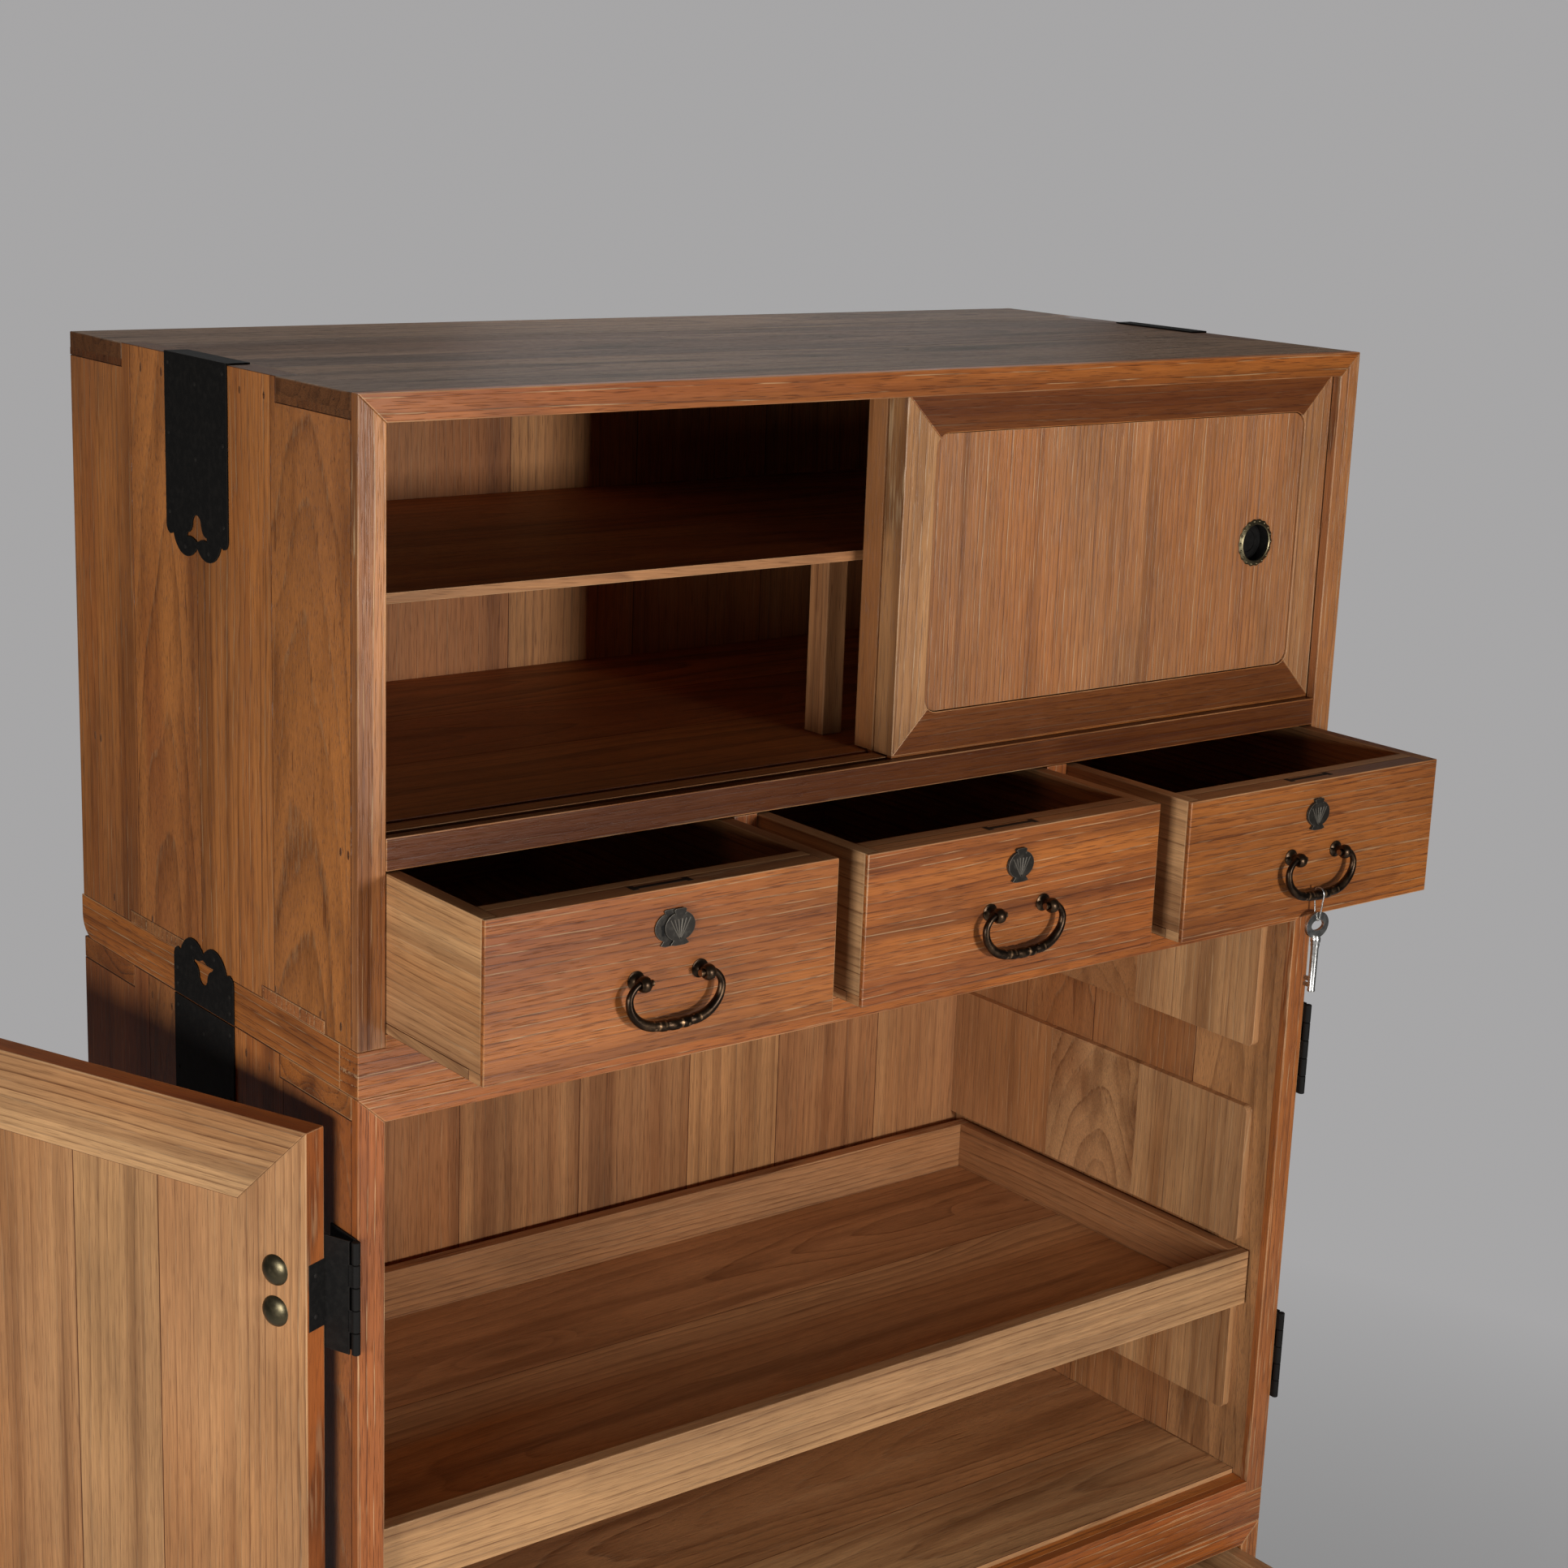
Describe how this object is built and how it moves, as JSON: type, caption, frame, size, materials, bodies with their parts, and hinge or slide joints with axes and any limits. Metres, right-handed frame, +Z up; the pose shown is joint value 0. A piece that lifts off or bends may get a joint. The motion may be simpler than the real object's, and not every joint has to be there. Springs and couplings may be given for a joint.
{
  "type": "kimono chest",
  "caption": "Stacked paulownia kimono chest with sliding doors over small drawers, hinged doors over a clothes tray, and long drawers below.",
  "frame": {"origin": "middle of the footprint, on the surface that the chest stands on", "axes": "+Z up, -Y out of the drawer fronts, +X to the right of someone who faces the chest"},
  "size_m": [1.2382, 0.6599, 1.6661],
  "materials": {
    "face_wood": "brushed raised grain, satin wax",
    "pale_wood": "unfinished, planed",
    "weathered_wood": "grey-brown, worn",
    "iron": "blackened, satin",
    "bronze": "dark patina, rubbed edges",
    "brass": "aged",
    "nickel": "worn plating"
  },
  "bodies": {
    "case": {"upper_top_board": "weathered_wood", "upper_left_side": "face_wood", "upper_right_side": "face_wood", "upper_back": "pale_wood", "upper_bottom_board": "face_wood", "upper_face_frame": "face_wood", "compartment_floor": "pale_wood", "shelf": "pale_wood", "drawer_divider_left": "face_wood", "drawer_divider_right": "face_wood", "middle_top_board": "face_wood", "middle_left_side": "face_wood", "middle_right_side": "face_wood", "middle_back": "pale_wood", "middle_bottom_board": "face_wood", "middle_face_frame": "face_wood", "left_upper_hinge_case_leaf": "iron", "left_lower_hinge_case_leaf": "iron", "right_upper_hinge_case_leaf": "iron", "right_lower_hinge_case_leaf": "iron", "top_strap_left": "iron", "top_strap_right": "iron", "upper_foot_strap_left": "iron", "upper_foot_strap_right": "iron", "middle_head_strap_left": "iron", "middle_head_strap_right": "iron", "lower_case": "face_wood"},
    "front_sliding_door": {"front_sliding_door": "face_wood", "front_sliding_door_pull": "brass"},
    "rear_sliding_door": {"rear_sliding_door": "face_wood", "rear_sliding_door_pull": "brass"},
    "left_drawer": {"left_drawer_box": "pale_wood", "left_drawer_front": "face_wood", "left_keyhole_plate": "iron"},
    "middle_drawer": {"middle_drawer_box": "pale_wood", "middle_drawer_front": "face_wood", "middle_keyhole_plate": "iron"},
    "right_drawer": {"right_drawer_box": "pale_wood", "right_drawer_front": "face_wood", "right_keyhole_plate": "iron"},
    "left_cover": {"left_keyhole_cover": "iron"},
    "middle_cover": {"middle_keyhole_cover": "iron"},
    "right_cover": {"right_keyhole_cover": "iron"},
    "left_bail": {"left_drawer_bail": "bronze"},
    "middle_bail": {"middle_drawer_bail": "bronze"},
    "right_bail": {"right_drawer_bail": "bronze"},
    "key": {"key": "nickel"},
    "tray": {"tray": "pale_wood"},
    "left_door": {"left_door": "face_wood", "left_upper_hinge_door_leaf": "iron", "left_lower_hinge_door_leaf": "iron"},
    "right_door": {"right_door": "face_wood", "right_upper_hinge_door_leaf": "iron", "right_lower_hinge_door_leaf": "iron"},
    "upper_long_drawer": {"upper_long_drawer": "face_wood"},
    "lower_long_drawer": {"lower_long_drawer": "face_wood"},
    "upper_long_left_bail": {"upper_long_drawer_left_bail": "bronze"},
    "upper_long_right_bail": {"upper_long_drawer_right_bail": "bronze"},
    "lower_long_left_bail": {"lower_long_drawer_left_bail": "bronze"},
    "lower_long_right_bail": {"lower_long_drawer_right_bail": "bronze"}
  },
  "joints": [
    {"name": "front_sliding_door_slide", "type": "slide", "parent": "case", "child": "front_sliding_door", "axis": [-1, 0, 0], "range_m": [0, 0.468]},
    {"name": "rear_sliding_door_slide", "type": "slide", "parent": "case", "child": "rear_sliding_door", "axis": [1, 0, 0], "range_m": [-0.468, 0]},
    {"name": "left_drawer_slide", "type": "slide", "parent": "case", "child": "left_drawer", "axis": [0, -1, 0], "range_m": [-0.1285, 0.16]},
    {"name": "middle_drawer_slide", "type": "slide", "parent": "case", "child": "middle_drawer", "axis": [0, -1, 0], "range_m": [-0.1332, 0.16]},
    {"name": "right_drawer_slide", "type": "slide", "parent": "case", "child": "right_drawer", "axis": [0, -1, 0], "range_m": [-0.1442, 0.15]},
    {"name": "left_cover_slide", "type": "slide", "parent": "left_drawer", "child": "left_cover", "axis": [1, 0, 0], "range_m": [-0.0075, 0.0015]},
    {"name": "middle_cover_slide", "type": "slide", "parent": "middle_drawer", "child": "middle_cover", "axis": [1, 0, 0], "range_m": [0, 0.009]},
    {"name": "right_cover_slide", "type": "slide", "parent": "right_drawer", "child": "right_cover", "axis": [1, 0, 0], "range_m": [0, 0.009]},
    {"name": "left_bail_swing", "type": "hinge", "parent": "left_drawer", "child": "left_bail", "pos_m": [-0.32573, -0.368, 1.2669], "axis": [-1, 0, 0], "range_deg": [0, 95]},
    {"name": "middle_bail_swing", "type": "hinge", "parent": "middle_drawer", "child": "middle_bail", "pos_m": [0, -0.3727, 1.2669], "axis": [-1, 0, 0], "range_deg": [0, 95]},
    {"name": "right_bail_swing", "type": "hinge", "parent": "right_drawer", "child": "right_bail", "pos_m": [0.32573, -0.3837, 1.2669], "axis": [-1, 0, 0], "range_deg": [0, 95]},
    {"name": "key_swing", "type": "hinge", "parent": "right_bail", "child": "key", "pos_m": [0.32573, -0.3837, 1.2334], "axis": [-1, 0, 0], "range_deg": [-95, 0]},
    {"name": "tray_slide", "type": "slide", "parent": "case", "child": "tray", "axis": [0, -1, 0], "range_m": [-0.012, 0.25]},
    {"name": "left_door_hinge", "type": "hinge", "parent": "case", "child": "left_door", "pos_m": [-0.503, -0.232, 0.8614], "axis": [0, 0, -1], "range_deg": [-248, 22]},
    {"name": "right_door_hinge", "type": "hinge", "parent": "case", "child": "right_door", "pos_m": [0.503, -0.232, 0.8614], "axis": [0, 0, 1], "range_deg": [-270, 0]},
    {"name": "upper_long_drawer_slide", "type": "slide", "parent": "case", "child": "upper_long_drawer", "axis": [0, -1, 0], "range_m": [-0.09, 0.2]},
    {"name": "lower_long_drawer_slide", "type": "slide", "parent": "case", "child": "lower_long_drawer", "axis": [0, -1, 0], "range_m": [0, 0.29]},
    {"name": "upper_long_left_bail_swing", "type": "hinge", "parent": "upper_long_drawer", "child": "upper_long_left_bail", "pos_m": [-0.27, -0.3295, 0.42638], "axis": [-1, 0, 0], "range_deg": [0, 95]},
    {"name": "upper_long_right_bail_swing", "type": "hinge", "parent": "upper_long_drawer", "child": "upper_long_right_bail", "pos_m": [0.27, -0.3295, 0.42638], "axis": [-1, 0, 0], "range_deg": [0, 95]},
    {"name": "lower_long_left_bail_swing", "type": "hinge", "parent": "lower_long_drawer", "child": "lower_long_left_bail", "pos_m": [-0.27, -0.2395, 0.18313], "axis": [-1, 0, 0], "range_deg": [0, 95]},
    {"name": "lower_long_right_bail_swing", "type": "hinge", "parent": "lower_long_drawer", "child": "lower_long_right_bail", "pos_m": [0.27, -0.2395, 0.18313], "axis": [-1, 0, 0], "range_deg": [0, 95]}
  ],
  "couplings": [
    {"joint": "key_swing", "follows": "right_bail_swing", "ratio": -1}
  ]
}
